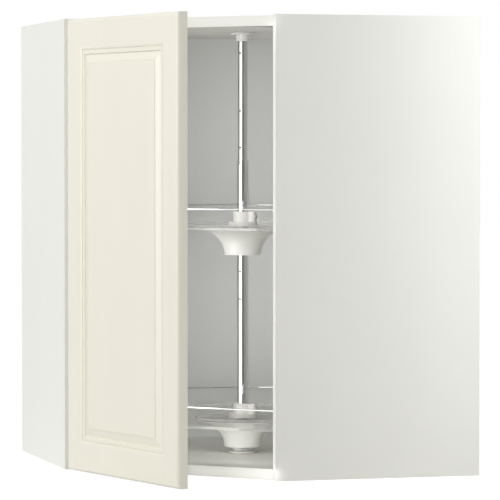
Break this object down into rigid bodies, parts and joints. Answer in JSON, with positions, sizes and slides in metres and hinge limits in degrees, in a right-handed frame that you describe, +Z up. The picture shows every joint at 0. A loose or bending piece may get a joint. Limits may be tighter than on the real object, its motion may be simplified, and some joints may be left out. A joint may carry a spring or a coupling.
{
  "type": "corner carousel cabinet",
  "caption": "Diagonal corner wall cabinet with a raised-panel door on swan-neck hinges and a turning pole that carries D-shaped clear trays with wire rims.",
  "frame": {"origin": "on the pole's axis, at the underside of the bottom board", "axes": "+Z up, +Y towards the rear wall, +X towards the side wall; the diagonal front faces the -X -Y corner"},
  "size_m": [0.672, 0.7612, 0.8],
  "materials": {
    "white_board": "smooth satin white melamine on chipboard",
    "back_board": "white lacquered hardboard",
    "cream_lacquer": "satin cream lacquer on milled fibreboard",
    "chrome": "polished chrome plate",
    "steel": "nickel-plated steel",
    "zinc": "dull zinc",
    "white_plastic": "semi-gloss white",
    "clear_plastic": "clear, slightly milky",
    "soft_stop": "clear soft bumper"
  },
  "bodies": {
    "cabinet": {"side_panel_left": "white_board", "side_panel_right": "white_board", "top_board": "white_board", "bottom_board": "white_board", "back_panel_rear": "back_board", "back_panel_side": "back_board", "corner_post": "white_board", "hanger_left": "white_plastic", "hanger_right": "white_plastic", "cam_top_left_1": "zinc", "cam_top_left_2": "zinc", "cam_top_right_1": "zinc", "cam_top_right_2": "zinc", "cam_bottom_left_1": "zinc", "cam_bottom_left_2": "zinc", "cam_bottom_right_1": "zinc", "cam_bottom_right_2": "zinc", "bolt_top_left_1": "steel", "bolt_top_left_2": "steel", "bolt_top_right_1": "steel", "bolt_top_right_2": "steel", "bolt_bottom_left_1": "steel", "bolt_bottom_left_2": "steel", "bolt_bottom_right_1": "steel", "bolt_bottom_right_2": "steel", "mounting_plate_lower": "steel", "mounting_plate_upper": "steel", "hinge_arm_lower": "steel", "hinge_arm_upper": "steel", "arm_pin_lower": "steel", "arm_pin_upper": "steel", "plate_screw_lower_1": "zinc", "plate_screw_lower_2": "zinc", "plate_screw_upper_1": "zinc", "plate_screw_upper_2": "zinc", "base_disc": "white_plastic", "top_bearing": "white_plastic"},
    "hinge_links": {"hinge_link_lower": "steel", "hinge_link_upper": "steel"},
    "door": {"door_leaf": "cream_lacquer", "hinge_cup_lower": "steel", "hinge_cup_upper": "steel", "cup_pin_lower": "steel", "cup_pin_upper": "steel", "door_bumper_bottom": "soft_stop", "door_bumper_top": "soft_stop"},
    "carousel": {"bearing_ring": "chrome", "pole_lower_tube": "chrome", "pole_upper_tube": "chrome", "lock_pin": "steel", "hub_cone_lower": "white_plastic", "hub_cone_upper": "white_plastic", "tray_lower": "clear_plastic", "tray_upper": "clear_plastic", "wire_rim_lower": "chrome", "wire_rim_upper": "chrome", "hub_collar_lower": "white_plastic", "hub_collar_upper": "white_plastic", "hub_screw_lower": "steel", "hub_screw_upper": "steel"}
  },
  "joints": [
    {"name": "carousel_turn", "type": "hinge", "parent": "cabinet", "child": "carousel", "pos_m": [0, 0, 0], "axis": [0, 0, 1], "range_deg": [-360, 360]},
    {"name": "link_turn", "type": "hinge", "parent": "cabinet", "child": "hinge_links", "pos_m": [-0.31324, -0.02496, 0.3985], "axis": [0, 0, -1], "range_deg": [-6.95, 15]},
    {"name": "door_swing", "type": "hinge", "parent": "hinge_links", "child": "door", "pos_m": [-0.32418, -0.05412, 0.3985], "axis": [0, 0, -1], "range_deg": [-23.1, 50]}
  ],
  "couplings": [
    {"joint": "link_turn", "follows": "door_swing", "ratio": 0.2987}
  ]
}
